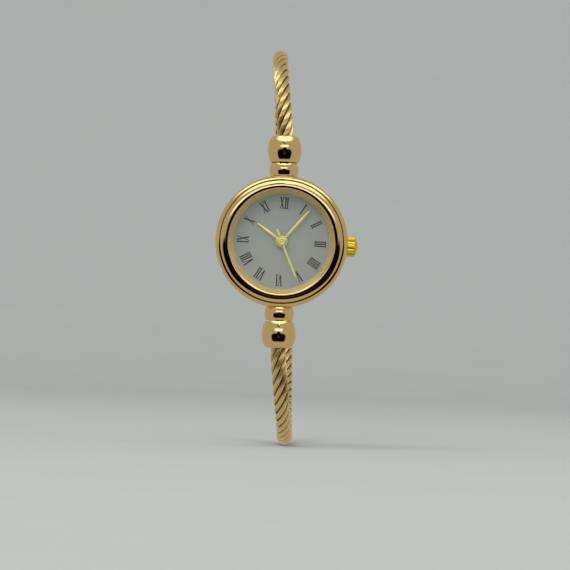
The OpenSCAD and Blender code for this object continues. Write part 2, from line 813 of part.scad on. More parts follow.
module second_hand() {
    color(yellow_gold) on_dial() translate([0, 0, z_second]) difference() {
        rotate([0, 0, -second_angle]) {
            blade(second_len, root_w, second_w, 0.55, second_t);
            rotate([0, 0, 180]) blade(second_tail, root_w, tail_w, 0.8, second_t);
            cylinder(r = second_hub_r, h = second_hub_t);
            translate([0, 0, second_hub_t]) intersection() {
                translate([0, 0, cap_rise - cap_r]) sphere(r = cap_r);
                cylinder(r = second_hub_r, h = past);
            }
        }
        translate([0, 0, -past]) cylinder(r = arbor_r, h = past + 0.1);
    }
}

// The crown slides and turns on a tube pressed through the case wall
tube_r = 0.8;
tube_bore_r = stem_d / 2 + 0.08;
tube_out = side_r + 0.55;
crown_face = side_r + 0.1;
crown_hollow_r = tube_r + 0.22;

module along_crown(x) {
    on_dial() translate([x, 0, z_stem]) rotate([0, 90, 0]) children();
}

module crown_tube() {
    color(steel) along_crown(bore_r - 0.4) difference() {
        cylinder(r = tube_r, h = tube_out - bore_r + 0.4);
        translate([0, 0, -past]) cylinder(r = tube_bore_r, h = case_d);
    }
}

module crown() {
    dome_r = crown_d * 0.95;
    color(yellow_gold) along_crown(crown_face) difference() {
        intersection() {
            cylinder(d = crown_d, h = crown_len);
            translate([0, 0, crown_len - dome_r]) sphere(r = dome_r);
            translate([0, 0, -0.42]) cylinder(r1 = crown_d / 2 + 0.3, r2 = crown_d / 2 - 0.02,
                h = crown_len + 0.8);
        }
        translate([0, 0, -past]) cylinder(r = crown_hollow_r, h = past + 0.62);
        cylinder(r = stem_d / 2, h = crown_len - 0.5);
        for (i = [0 : crown_flutes - 1]) rotate([0, 0, 360 * i / crown_flutes])
            translate([crown_d / 2 + 0.04, 0, 0.22]) cylinder(r = 0.13, h = crown_len);
    }
}

module crown_gasket() {
    color("#2c2c2c") along_crown(crown_face + 0.2) rotate_extrude()
        translate([tube_r + 0.11, 0]) circle(r = 0.1);
}

module setting_stem() {
    color(steel) along_crown(stem_in) difference() {
        cylinder(d = stem_d, h = crown_face + crown_len - 0.5 - stem_in);
        difference() {
            translate([0, 0, 0.7]) cylinder(r = stem_d, h = 0.35);
            translate([0, 0, 0.7]) cylinder(r = stem_d / 2 - 0.14, h = 0.35);
        }
    }
}

// A bead is the part of a small sphere that shows between the case and its ball
module bead_body() {
    difference() {
        sphere(r = bead_r);
        rotate([0, 90, 0]) cylinder(r = pin_r, h = bead_d, center = true);
    }
}

// The wedge that the tongue's stem sweeps as the loop opens, with clearance
module tongue_sweep() {
    half = tongue_w / 2 + 0.1;
    reach = bead_d;
    lean = [-cos(open_angle), -sin(open_angle)] * half;
    far = lean + [-sin(open_angle), cos(open_angle)] * reach;
    circle(r = eye_r + 0.1);
    polygon([[half, 0], [half, reach], [-half, reach], far, lean]);
}

// Turns a drawing of depth and height into a slab across the bead
module slab(width) {
    translate([-width / 2, 0, 0]) rotate([90, 0, 90]) linear_extrude(width) children();
}

module hinge_bead() {
    color(gold) difference() {
        on_bead(1) difference() {
            bead_body();
            slab(slot_w) tongue_sweep();
        }
        case_blank();
    }
}

module latch_bead() {
    color(gold) difference() {
        on_bead(-1) difference() {
            bead_body();
            translate([-bead_d, -bead_d, ball_rim_h - seam_gap]) cube(2 * bead_d);
            slab(slot_w) translate([-eye_r - 0.3, -eye_r - 0.1]) square(2 * bead_d);
        }
        case_blank();
    }
}

module cross_pin() {
    intersection() {
        sphere(r = bead_r);
        rotate([0, 90, 0]) cylinder(r = pin_r, h = bead_d, center = true);
    }
}

module hinge_pin() {
    color(steel) on_bead(1) cross_pin();
}

module latch_bar() {
    color(steel) on_bead(-1) cross_pin();
}

cup_r = bead_r + cup_fit;
tongue_top = cup_r + tongue_seat;

module tongue_stem() {
    translate([-tongue_t / 2, -tongue_w / 2, 0]) cube([tongue_t, tongue_w, tongue_top]);
}

module hinge_tongue() {
    color(steel) on_bead(1) difference() {
        union() {
            tongue_stem();
            slab(tongue_t) circle(r = eye_r);
        }
        slab(tongue_t + past) circle(r = pin_r + hinge_fit);
    }
}

// A gentle curve from the ball's widest ring to a narrower one at a height
module ball_curve(r, h) {
    rise = h - ball_mid_h;
    step = ball_r - r;
    curve_r = (rise * rise + step * step) / (2 * step);
    intersection() {
        translate([ball_r - curve_r, ball_mid_h]) circle(r = curve_r, $fn = 180);
        square_between(0, ball_r + past, min(h, ball_mid_h), max(h, ball_mid_h));
    }
}

// Section of a ball: it narrows to the rim on one side and to the flat end on the other
module ball_section() {
    ball_curve(rim_r, ball_rim_h);
    ball_curve(ball_end_d / 2, ball_end_h);
}

rim_r = sqrt(cup_r * cup_r - ball_rim_h * ball_rim_h) + ball_rim_w;

module ball_body() {
    difference() {
        rotate_extrude() ball_section();
        translate([0, 0, ball_end_h - socket_depth]) cylinder(r = socket_r, h = ball_d);
    }
}

module hinge_ball() {
    color(gold) on_bead(1) difference() {
        ball_body();
        sphere(r = cup_r);
        tongue_stem();
    }
}

hook_foot = [-0.55, 1.05];
hook_seat = 0.8;

module hook_stem() {
    translate([-tongue_t / 2, hook_foot[0], 0])
        cube([tongue_t, hook_foot[1] - hook_foot[0], ball_rim_h + hook_seat]);
}

module latch_ball() {
    color(gold) on_bead(-1) difference() {
        ball_body();
        hook_stem();
    }
}

// The hook: an open jaw that faces the dial side and closes over the bar
module latch_hook() {
    color(steel) on_bead(-1) difference() {
        union() {
            hook_stem();
            slab(tongue_t) circle(r = eye_r);
        }
        slab(tongue_t + past) {
            circle(r = pin_r + hinge_fit);
            square_between(-bead_d, 0, -pin_r - hinge_fit, pin_r + hinge_fit);
        }
    }
}

module cable_core() {
    color(pale_gold) tube([for (i = [0 : core_rings]) core_ring(cable_length * i / core_rings)]);
}

module cable_strand(phase) {
    color(pale_gold) tube([for (i = [0 : strand_rings])
        strand_ring(cable_length * i / strand_rings, phase)]);
}

module cable_strand_1() { cable_strand(0); }
module cable_strand_2() { cable_strand(60); }
module cable_strand_3() { cable_strand(120); }
module cable_strand_4() { cable_strand(180); }
module cable_strand_5() { cable_strand(240); }
module cable_strand_6() { cable_strand(300); }

case();
crystal();
crystal_gasket();
rehaut_ring();
dial();
case_back();
back_gasket();
movement_holder();
main_plate();
train_bridge();
movement_screws();
circuit_board();
driver_chip();
quartz_can();
battery();
battery_strap();
stator();
coil_core();
coil();
rotor();
intermediate_wheel();
second_wheel();
third_wheel();
centre_wheel();
cannon_pinion();
minute_wheel();
hour_wheel();
hour_hand();
minute_hand();
second_hand();
crown_tube();
crown();
crown_gasket();
setting_stem();
hinge_bead();
latch_bead();
hinge_pin();
latch_bar();
hinge_tongue();
hinge_ball();
latch_ball();
latch_hook();
cable_core();
cable_strand_1();
cable_strand_2();
cable_strand_3();
cable_strand_4();
cable_strand_5();
cable_strand_6();
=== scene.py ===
# Looks of the ladies' cable bangle watch.
# Lengths are written in millimetres and turned to metres by MM. +X is the crown side, the dial
# faces -Y and +Z is 12 o'clock.
import bmesh
import bpy
import math
import numpy as np
from mathutils import Matrix, Vector


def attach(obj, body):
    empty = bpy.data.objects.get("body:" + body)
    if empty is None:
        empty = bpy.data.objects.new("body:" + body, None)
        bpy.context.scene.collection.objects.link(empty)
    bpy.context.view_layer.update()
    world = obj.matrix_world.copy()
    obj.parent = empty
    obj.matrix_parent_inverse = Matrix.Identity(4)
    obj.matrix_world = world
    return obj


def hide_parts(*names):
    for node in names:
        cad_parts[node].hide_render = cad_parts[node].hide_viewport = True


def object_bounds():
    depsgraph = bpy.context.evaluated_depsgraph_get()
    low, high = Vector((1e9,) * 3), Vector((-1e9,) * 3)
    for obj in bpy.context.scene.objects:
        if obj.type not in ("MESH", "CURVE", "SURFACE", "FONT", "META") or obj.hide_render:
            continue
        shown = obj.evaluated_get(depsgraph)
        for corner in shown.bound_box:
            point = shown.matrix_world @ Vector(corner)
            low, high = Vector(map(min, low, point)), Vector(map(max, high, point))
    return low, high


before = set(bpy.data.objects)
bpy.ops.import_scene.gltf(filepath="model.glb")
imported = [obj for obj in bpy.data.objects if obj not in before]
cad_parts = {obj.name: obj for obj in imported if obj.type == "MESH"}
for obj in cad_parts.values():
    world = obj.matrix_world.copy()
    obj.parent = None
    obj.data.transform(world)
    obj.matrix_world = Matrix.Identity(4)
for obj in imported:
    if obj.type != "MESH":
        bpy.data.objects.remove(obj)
cad_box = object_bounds()

MM = 0.001
HEAD = "watch_head"
LOOP = "bangle"

# Where the parts of the watch sit
BACK_Y, BEAD_Y, BEAD_Z = -23.5, -26.8, 12.1
NOTCH_ANGLE, OPENING_ANGLE = 225, 45
CASE_PLACE = Matrix.Translation((0, BACK_Y * MM, 0)) @ Matrix.Rotation(math.radians(90), 4, "X")
DIAL_TURN = math.radians(-2)
DIAL_PLACE = CASE_PLACE @ Matrix.Rotation(DIAL_TURN, 4, "Z")
CROWN_X, STEM_Z = 10.95, 2.6
CROWN_PLACE = (DIAL_PLACE @ Matrix.Translation((CROWN_X * MM, 0, STEM_Z * MM))
               @ Matrix.Rotation(math.radians(90), 4, "Y"))
UPPER_PLACE = Matrix.Translation((0, BEAD_Y * MM, BEAD_Z * MM))
LOWER_PLACE = (Matrix.Translation((0, BEAD_Y * MM, -BEAD_Z * MM))
               @ Matrix.Rotation(math.radians(180), 4, "X"))

# Heights above the case back, and radii
Z_CASE = 0.25
Z_DIAL, Z_DIAL_TOP = 3.95, 4.35
Z_HOUR, Z_MINUTE, Z_SECOND = 4.60, 4.84, 5.08
Z_CRYSTAL, Z_CRYSTAL_TOP = 5.55, 6.35
Z_REHAUT, Z_REHAUT_TOP = 4.36, 5.50
Z_LIP, Z_BAND = 6.38, 6.60
SIDE_R, BORE_R = 10.85, 9.80
LIP_R, SEAT_R, CRYSTAL_R, LEDGE_R = 8.80, 9.16, 8.905, 8.865
DIAL_R, DIAL_VIEW_R = 9.35, 8.0
# Beads and balls: radii, then the ball's rim, widest ring and end above the bead's middle
BEAD_R, BALL_R, CUP_R, RIM_R, END_R = 2.5, 2.9, 2.57, 2.417, 2.2
BALL_RIM, BALL_MID, BALL_END = 1.3, 3.5, 5.8


# ---- camera

def place_camera():
    """A long lens, a little below the watch and looking up at it, rolled as the photo is."""
    eye, photo_side = Vector((4.28, -410.35, -20.1)) * MM, 570
    pitch, yaw, roll = math.radians(1.9), math.radians(-0.537), math.radians(1.9)
    ahead = Vector((math.sin(yaw) * math.cos(pitch), math.cos(yaw) * math.cos(pitch),
                    math.sin(pitch)))
    right = ahead.cross(Vector((0, 0, 1))).normalized()
    up = right.cross(ahead)
    side = right * math.cos(roll) + up * math.sin(roll)
    top = up * math.cos(roll) - right * math.sin(roll)
    bpy.ops.object.camera_add()
    camera = bpy.context.object
    camera.name = "camera"
    turn = Matrix((side, top, -ahead)).transposed().to_4x4()
    camera.matrix_world = Matrix.Translation(eye) @ turn
    camera.data.sensor_width = 36
    camera.data.lens = 143.7
    camera.data.shift_x = 0.7 / photo_side
    camera.data.shift_y = 0.9 / photo_side
    camera.data.clip_start = 0.01
    camera.data.clip_end = 20
    bpy.context.scene.camera = camera


# ---- modelling by hand

def arc(x, z, r, start, end, steps):
    """Points along an arc of a half section, with its angles in degrees."""
    angles = [math.radians(start + (end - start) * i / steps) for i in range(steps + 1)]
    return [(x + r * math.cos(a), z + r * math.sin(a)) for a in angles]


def begin(name):
    """Takes the primitive just added as a new piece."""
    piece = bpy.context.object
    piece.name = piece.data.name = name
    return piece


def select(piece, test, what="verts"):
    """In edit mode, selects the vertices, edges or faces whose middle, in mm, passes a test."""
    bpy.ops.mesh.select_all(action="DESELECT")
    mesh = bmesh.from_edit_mesh(piece.data)
    for part in getattr(mesh, what):
        if what == "verts":
            middle = part.co
        elif what == "edges":
            middle = (part.verts[0].co + part.verts[1].co) / 2
        else:
            middle = part.calc_center_median()
        if test(middle / MM):
            part.select_set(True)
    bmesh.update_edit_mesh(piece.data)


def revolve(name, outline, steps=160):
    """Draws a closed half section by extruding one vertex from corner to corner, and spins it.
    An edge that lies on the axis has to be the closing one, and isn't drawn."""
    bpy.ops.object.select_all(action="DESELECT")
    bpy.ops.mesh.primitive_plane_add(size=0.1 * MM, location=(0, 0, 0))
    piece = begin(name)
    bpy.ops.object.mode_set(mode="EDIT")
    bpy.ops.mesh.merge(type="CENTER")
    corners = [Vector((x * MM, 0, z * MM)) for x, z in outline]
    bpy.ops.transform.translate(value=corners[0])
    for a, b in zip(corners, corners[1:] + corners[:1]):
        if a.x < 1e-9 and b.x < 1e-9:
            continue
        bpy.ops.mesh.extrude_vertices_move(TRANSFORM_OT_translate={"value": b - a})
    bpy.ops.mesh.select_all(action="SELECT")
    bpy.ops.mesh.remove_doubles(threshold=1e-6)
    bpy.ops.mesh.spin(steps=steps, angle=2 * math.pi, center=(0, 0, 0), axis=(0, 0, 1))
    bpy.ops.mesh.select_all(action="SELECT")
    bpy.ops.mesh.remove_doubles(threshold=1e-6)
    bpy.ops.mesh.normals_make_consistent(inside=False)
    bpy.ops.object.mode_set(mode="OBJECT")
    return piece


def cut(piece, *cutters):
    """Cuts pieces out of a piece, and removes them."""
    for cutter in cutters:
        modifier = piece.modifiers.new("cut", "BOOLEAN")
        modifier.operation = "DIFFERENCE"
        modifier.solver = "EXACT"
        modifier.object = cutter
        bpy.ops.object.select_all(action="DESELECT")
        bpy.context.view_layer.objects.active = piece
        piece.select_set(True)
        bpy.ops.object.modifier_apply(modifier="cut")
        bpy.data.objects.remove(cutter)


def join(name, *pieces):
    """Joins pieces into one."""
    bpy.ops.object.select_all(action="DESELECT")
    for piece in pieces:
        piece.select_set(True)
    bpy.context.view_layer.objects.active = pieces[0]
    bpy.ops.object.join()
    pieces[0].name = pieces[0].data.name = name
    return pieces[0]


def settle(piece, place, angle=30):
    """Puts a piece in its place, with its origin back at the frame's, and shades it smooth."""
    bpy.ops.object.select_all(action="DESELECT")
    bpy.context.view_layer.objects.active = piece
    piece.select_set(True)
    piece.matrix_world = place @ piece.matrix_world
    bpy.ops.object.transform_apply(location=True, rotation=True, scale=True)
    bpy.ops.object.shade_smooth_by_angle(angle=math.radians(angle))
    return piece


def hand_over(piece, body, finish, slot, *nodes):
    """Gives a piece its finish and body, and hides the nodes that it stands for."""
    piece.data.materials.clear()
    piece.data.materials.append(finish)
    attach(piece, body)
    if nodes:
        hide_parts(*nodes)


def box(name, low, high):
    """A block between two corners, for cutting."""
    bpy.ops.object.select_all(action="DESELECT")
    middle = [(a + b) / 2 * MM for a, b in zip(low, high)]
    size = [(b - a) * MM for a, b in zip(low, high)]
    bpy.ops.mesh.primitive_cube_add(size=1, location=middle, scale=size)
    return begin(name)


# ---- materials

def to_linear(colour):
    """A hex sRGB colour as linear red, green, blue and alpha."""
    parts = [int(colour[i:i + 2], 16) / 255 for i in (1, 3, 5)]
    return [c / 12.92 if c <= 0.04045 else ((c + 0.055) / 1.055) ** 2.4 for c in parts] + [1]


def add(tree, kind, inputs=None, **settings):
    """Adds a node. settings are its properties, and inputs gives sockets a value or a link."""
    node = tree.nodes.new("ShaderNode" + kind)
    for key, value in settings.items():
        setattr(node, key, value)
    for key, value in (inputs or {}).items():
        if isinstance(value, bpy.types.NodeSocket):
            tree.links.new(value, node.inputs[key])
        else:
            node.inputs[key].default_value = value
    return node


def new_material(name, **constants):
    """A material with one Principled shader, with its plain sockets set."""
    material = bpy.data.materials.new(name)
    material.use_nodes = True
    tree = material.node_tree
    shader = tree.nodes["Principled BSDF"]
    for key, value in constants.items():
        shader.inputs[key.replace("_", " ")].default_value = value
    return material, tree, shader


def two_tone(tree, shader, colour_a, colour_b, factor):
    """Colours a surface between two tones by a pattern."""
    mix = add(tree, "Mix", {"Factor": factor, "A": to_linear(colour_a), "B": to_linear(colour_b)},
              data_type="RGBA")
    tree.links.new(mix.outputs["Result"], shader.inputs["Base Color"])


def rough_between(tree, shader, low, high, pattern):
    """Lets a pattern, which mostly lies between 0.3 and 0.7, drive the roughness between two
    values."""
    spread = add(tree, "MapRange", {"Value": pattern, "From Min": 0.3, "From Max": 0.7,
                                    "To Min": low, "To Max": high})
    tree.links.new(spread.outputs["Result"], shader.inputs["Roughness"])


def relief(tree, shader, height, depth_mm):
    """Raises a pattern by a depth in millimetres."""
    bump = add(tree, "Bump", {"Height": height, "Distance": depth_mm * MM})
    tree.links.new(bump.outputs["Normal"], shader.inputs["Normal"])


def grain(tree, size_mm, detail=2.0, stretch=(1, 1, 1)):
    """Noise with features of a real size, stretched along an axis by a mapping."""
    place = add(tree, "TexCoord").outputs["Object"]
    mapping = add(tree, "Mapping", {"Vector": place, "Scale": stretch})
    return add(tree, "TexNoise", {"Vector": mapping.outputs["Vector"], "Scale": 1 / (size_mm * MM),
                                  "Detail": detail}).outputs["Fac"]


def polished_gold():
    """Gold plate on polished brass. The eye gets a clear mirror, broken by wipe marks."""
    material, tree, shader = new_material("polished_gold_plate", Metallic=1)
    two_tone(tree, shader, "#e2c587", "#eacf95", grain(tree, 4))
    rough_between(tree, shader, 0.03, 0.09, grain(tree, 0.9, 4))
    relief(tree, shader, grain(tree, 0.35, 3, (1, 1, 0.25)), 0.0006)
    return material


def cable_gold():
    """Gold-plated drawn wire, with painted shade: its colour runs from brown deep in the gaps
    between the wires to paler gold on the crests.
    """
    material, tree, shader = new_material("gold_plated_drawn_wire", Metallic=1)
    depth = add(tree, "Attribute", attribute_name="depth").outputs["Fac"]
    # Painted shade: how deep a point lies in the cable picks its tone, dark brown in the gaps,
    # paler gold on the crests.
    painted_gap_shade = add(tree, "MapRange", {"Value": depth, "From Min": 0.25, "From Max": 0.85})
    two_tone(tree, shader, "#8d6e36", "#f4dda0", painted_gap_shade.outputs["Result"])
    rough_between(tree, shader, 0.1, 0.2, grain(tree, 0.4, 3))
    relief(tree, shader, grain(tree, 0.08, 2), 0.002)
    return material


def blasted_gold():
    """Gold plate on bead-blasted brass, under matt lacquer. The eye gets an even soft glow with
    a grain. The real grain of 0.05 mm is too fine to show, so it is drawn at 0.22 mm."""
    material, tree, shader = new_material("bead_blasted_gold_plate", Metallic=0.6)
    speck = grain(tree, 0.22, 2)
    two_tone(tree, shader, "#dcc07c", "#f7e5b2", speck)
    rough_between(tree, shader, 0.34, 0.5, speck)
    relief(tree, shader, speck, 0.02)
    return material


def crown_gold():
    """Yellower gold plate on turned brass. The eye gets a deeper yellow than the case."""
    material, tree, shader = new_material("yellow_gold_plate", Metallic=1)
    two_tone(tree, shader, "#e8be32", "#f3d04c", grain(tree, 1.2))
    rough_between(tree, shader, 0.1, 0.2, grain(tree, 0.3, 3))
    relief(tree, shader, grain(tree, 0.12, 2), 0.001)
    return material


def hand_gold():
    """Pale gilt lacquer on stamped brass strip. The eye gets a line that is bright from all
    sides, with faint brushing."""
    material, tree, shader = new_material("gilt_stamped_brass", Metallic=0.35)
    two_tone(tree, shader, "#ffef8c", "#fff8b4", grain(tree, 0.5))
    rough_between(tree, shader, 0.1, 0.2, grain(tree, 0.12, 3))
    relief(tree, shader, grain(tree, 0.09, 2), 0.001)
    return material


def back_gold():
    """Gold plate on turned and brushed brass. The eye gets fine rings round the middle."""
    material, tree, shader = new_material("turned_gold_plate", Metallic=1)
    place = add(tree, "TexCoord").outputs["Object"]
    flat = add(tree, "VectorMath", {0: place, 1: (1, 0, 1)}, operation="MULTIPLY").outputs["Vector"]
    radius = add(tree, "VectorMath", {0: flat}, operation="LENGTH").outputs["Value"]
    rings = add(tree, "TexNoise", {"W": radius, "Scale": 1 / (0.12 * MM), "Detail": 2},
                noise_dimensions="1D").outputs["Fac"]
    two_tone(tree, shader, "#d9bb7a", "#e8cd92", rings)
    rough_between(tree, shader, 0.2, 0.34, rings)
    relief(tree, shader, rings, 0.004)
    return material


def dial_lacquer():
    """Silver-grey lacquer over grained brass. The eye gets a soft even sheen."""
    material, tree, shader = new_material("silver_grey_dial_lacquer", Metallic=0.2)
    shader.inputs["Coat Weight"].default_value = 0.2
    shader.inputs["Coat Roughness"].default_value = 0.15
    speck = grain(tree, 0.16, 3)
    two_tone(tree, shader, "#adb3ae", "#b9bfba", speck)
    rough_between(tree, shader, 0.38, 0.5, speck)
    relief(tree, shader, speck, 0.002)
    return material


def print_ink():
    """Pad-printed lacquer. The eye gets a soft dark line that is not quite black."""
    material, tree, shader = new_material("pad_printed_lacquer")
    patch = grain(tree, 0.3, 2)
    two_tone(tree, shader, "#3a3833", "#4a4740", patch)
    rough_between(tree, shader, 0.4, 0.55, patch)
    return material


def mineral_glass():
    """Flat mineral glass. The eye sees straight through, with a faint smear at a low angle.
    Plain light passes straight on, as it does through a thin flat pane."""
    material, tree, shader = new_material("mineral_glass", Transmission_Weight=1, IOR=1.52)
    rough_between(tree, shader, 0.0, 0.012, grain(tree, 3, 3))
    clear = add(tree, "BsdfTransparent")
    path = add(tree, "LightPath")
    plain = add(tree, "Math", {0: path.outputs["Is Shadow Ray"], 1: path.outputs["Is Diffuse Ray"]},
                operation="MAXIMUM").outputs[0]
    mix = add(tree, "MixShader", {0: plain, 1: shader.outputs["BSDF"], 2: clear.outputs["BSDF"]})
    tree.links.new(mix.outputs["Shader"], tree.nodes["Material Output"].inputs["Surface"])
    return material


def moulded(name, tone_a, tone_b, rough):
    """A moulded plastic or rubber. The eye gets a low sheen and a fine even texture."""
    material, tree, shader = new_material(name)
    skin = grain(tree, 0.4, 3)
    two_tone(tree, shader, tone_a, tone_b, skin)
    rough_between(tree, shader, rough, rough + 0.12, skin)
    relief(tree, shader, skin, 0.004)
    return material


def worked_metal(name, tone_a, tone_b, rough, size_mm, stretch=(1, 1, 1)):
    """A stamped or turned metal. The eye gets a grain of the tool's marks in its sheen."""
    material, tree, shader = new_material(name, Metallic=1)
    marks = grain(tree, size_mm, 3, stretch)
    two_tone(tree, shader, tone_a, tone_b, marks)
    rough_between(tree, shader, rough, rough + 0.14, marks)
    relief(tree, shader, marks, 0.0015)
    return material


def wound_copper():
    """Enamelled copper wire. The eye gets close turns, drawn at 0.12 mm so that they show."""
    material, tree, shader = new_material("enamelled_copper_winding", Metallic=0.8)
    place = add(tree, "TexCoord").outputs["Object"]
    turns = add(tree, "TexWave", {"Vector": place, "Scale": 1 / (0.12 * MM) * math.pi / 10},
                bands_direction="X").outputs["Fac"]
    two_tone(tree, shader, "#7c3a18", "#c4713a", turns)
    rough_between(tree, shader, 0.25, 0.4, grain(tree, 0.2))
    relief(tree, shader, turns, 0.02)
    return material


def solder_mask():
    """Glass-epoxy board under green solder mask. The eye gets tracks under a gloss skin."""
    material, tree, shader = new_material("green_solder_mask")
    place = add(tree, "TexCoord").outputs["Object"]
    tracks = add(tree, "TexBrick", {"Vector": place, "Scale": 1 / (1.1 * MM), "Mortar Size": 0.06,
                                    "Color1": to_linear("#2f5a38"), "Color2": to_linear("#356640"),
                                    "Mortar": to_linear("#5f8a4e")}).outputs["Color"]
    tree.links.new(tracks, shader.inputs["Base Color"])
    rough_between(tree, shader, 0.2, 0.35, grain(tree, 0.3))
    return material


def make_finishes():
    """Every finish, by the name that the pieces ask for."""
    steel = worked_metal("stamped_steel", "#a9abae", "#c3c5c8", 0.22, 0.3, (1, 1, 0.3))
    brass = worked_metal("grained_brass_plate", "#b89650", "#cfae66", 0.28, 0.25)
    return {
        "polished_gold": polished_gold(), "cable_gold": cable_gold(),
        "blasted_gold": blasted_gold(), "crown_gold": crown_gold(),
        "hand_gold": hand_gold(), "back_gold": back_gold(),
        "dial": dial_lacquer(), "ink": print_ink(), "glass": mineral_glass(),
        "seal": moulded("nitrile_rubber", "#1f1f20", "#2e2e30", 0.55),
        "nylon": moulded("moulded_nylon", "#c9c6bc", "#dcd9cf", 0.4),
        "holder": moulded("moulded_acetal", "#cfcfca", "#dfdfda", 0.35),
        "chip": moulded("moulded_epoxy", "#1c1d20", "#2a2b2e", 0.5),
        "magnet": worked_metal("sintered_magnet", "#4a4d51", "#626569", 0.35, 0.15),
        "copper": wound_copper(), "board": solder_mask(), "steel": steel, "brass": brass,
    }


# ---- the case

def case_outside():
    """Half section of the outside, from the back upward and inward."""
    bevel = [(SIDE_R - 0.5, Z_CASE), (SIDE_R - 0.46, Z_CASE), (SIDE_R - 0.02, 0.86), (SIDE_R, 0.92)]
    edge_z, groove_z, crest_r, dome_r = 4.95, 5.55, 9.22, 1.8
    underside = arc(SIDE_R, edge_z, 0.30, -90, 0, 8)
    moulding = arc(10.22, edge_z, 0.93, 0, 75.7, 24)
    groove = [(10.44, groove_z), (10.335, groove_z)]
    flank = [(10.33, 6.02), *arc(10.056, 6.1642, 0.2, 22, 58.5, 8)]
    band = arc(crest_r, Z_BAND - dome_r, dome_r, 58.5, 94.5, 24)
    lip = arc(9.1102, 6.1957, 0.4, 94.5, 140.8, 10)
    return [*bevel, *underside, *moulding[1:], *groove, *flank[:-1], *band, *lip[1:]]


def opening_notch(low, high):
    """A block that cuts the notch for the tool that lifts the case back."""
    notch = box("notch", low, high)
    bpy.context.view_layer.update()
    notch.matrix_world = Matrix.Rotation(math.radians(NOTCH_ANGLE), 4, "Z") @ notch.matrix_world
    return notch


def make_case(finish):
    """The turned case, bored for the crown's tube and notched at the back."""
    ring_r, ring_top, holder_top, back_r, back_top = 9.38, 5.20, 3.90, 10.05, 0.70
    inside = [(LIP_R, Z_LIP), (SEAT_R, Z_LIP), (SEAT_R, Z_CRYSTAL), (LEDGE_R, Z_CRYSTAL),
              (LEDGE_R, ring_top), (ring_r, ring_top), (ring_r, holder_top), (BORE_R, holder_top),
              (BORE_R, back_top), (back_r, back_top), (back_r, Z_CASE)]
    piece = revolve("case_turned", case_outside() + inside, 192)
    bpy.ops.object.select_all(action="DESELECT")
    bpy.ops.mesh.primitive_cylinder_add(vertices=48, radius=0.8 * MM, depth=3 * MM,
                                        location=(10.5 * MM, 0, STEM_Z * MM),
                                        rotation=(0, math.pi / 2, 0))
    tube_hole = begin("tube_hole")
    bpy.context.view_layer.update()
    tube_hole.matrix_world = Matrix.Rotation(DIAL_TURN, 4, "Z") @ tube_hole.matrix_world
    cut(piece, tube_hole, opening_notch((8.75, -1.2, 0.1), (11.35, 1.2, 0.4)))
    settle(piece, CASE_PLACE)
    hand_over(piece, HEAD, finish["polished_gold"], "case_gold", "case")


def make_back(finish):
    """The push-in case back: a plate with a rounded rim, and the ring that snaps into the case."""
    plate_r, plate_top, ring_in, ring_out, ring_top = 10.02, 0.68, 9.1, 9.4, 1.0
    plate = [(0, 0), (9.66, 0), (9.73, 0.02), (plate_r, 0.3), (plate_r, plate_top)]
    snap_ring = [(ring_out, plate_top), (ring_out, ring_top), (ring_in, ring_top),
                 (ring_in, plate_top), (0, plate_top)]
    piece = revolve("back_cover", plate + snap_ring)
    cut(piece, opening_notch((9.45, -1.2, -0.3), (10.65, 1.2, 0.3)))
    settle(piece, CASE_PLACE)
    hand_over(piece, HEAD, finish["back_gold"], "case_back_gold", "case_back")


def make_crystal(finish):
    """The crystal with a bevelled upper edge, its gasket, and the sloping ring under it."""
    bevel, gasket_in, gasket_out, gasket_top = 0.12, 8.9125, 9.145, 6.30
    ring_in, ring_step = 8.835, 5.18
    outline = [(0, Z_CRYSTAL), (CRYSTAL_R - 0.03, Z_CRYSTAL), (CRYSTAL_R, Z_CRYSTAL + 0.03),
               (CRYSTAL_R, Z_CRYSTAL_TOP - bevel), (CRYSTAL_R - bevel, Z_CRYSTAL_TOP),
               (0, Z_CRYSTAL_TOP)]
    piece = settle(revolve("crystal_glass", outline), CASE_PLACE, 20)
    hand_over(piece, HEAD, finish["glass"], "crystal_glass", "crystal")
    outline = [(gasket_in, Z_CRYSTAL), (gasket_out, Z_CRYSTAL), (gasket_out, gasket_top - 0.04),
               (9.11, gasket_top), (8.95, gasket_top), (gasket_in, gasket_top - 0.04)]
    piece = settle(revolve("crystal_seal", outline), CASE_PLACE)
    hand_over(piece, HEAD, finish["nylon"], "gasket_white", "crystal_gasket")
    outline = [(DIAL_VIEW_R, Z_REHAUT), (DIAL_R, Z_REHAUT), (DIAL_R, ring_step),
               (ring_in, ring_step), (ring_in, Z_REHAUT_TOP - 0.01),
               (ring_in - 0.01, Z_REHAUT_TOP), (ring_in - 0.06, Z_REHAUT_TOP),
               (ring_in - 0.08, Z_REHAUT_TOP - 0.01), (DIAL_VIEW_R + 0.01, Z_REHAUT + 0.1),
               (DIAL_VIEW_R, Z_REHAUT + 0.08)]
    piece = settle(revolve("sloping_ring", outline, 192), CASE_PLACE)
    hand_over(piece, HEAD, finish["blasted_gold"], "rehaut_gold", "rehaut_ring")


# ---- beads and balls

def case_blank():
    """The case without its inside, to cut the beads where they meet it."""
    outline = [(0, Z_CASE), *case_outside(), (LIP_R, Z_LIP + 0.02), (0, Z_LIP + 0.02)]
    return settle(revolve("case_blank", outline), CASE_PLACE)


def bead(name):
    """A ball with a cross hole for its pin."""
    bpy.ops.object.select_all(action="DESELECT")
    bpy.ops.mesh.primitive_uv_sphere_add(segments=96, ring_count=48, radius=BEAD_R * MM)
    piece = begin(name)
    bpy.ops.mesh.primitive_cylinder_add(vertices=40, radius=0.45 * MM, depth=6 * MM,
                                        rotation=(0, math.pi / 2, 0))
    cut(piece, begin("pin_hole"))
    return piece


def seat_bead(piece, place, finish, node):
    """Puts a bead beside the case and fits it to the case's side."""
    settle(piece, place)
    cut(piece, case_blank())
    settle(piece, Matrix.Identity(4))
    hand_over(piece, HEAD, finish["polished_gold"], "case_gold", node)


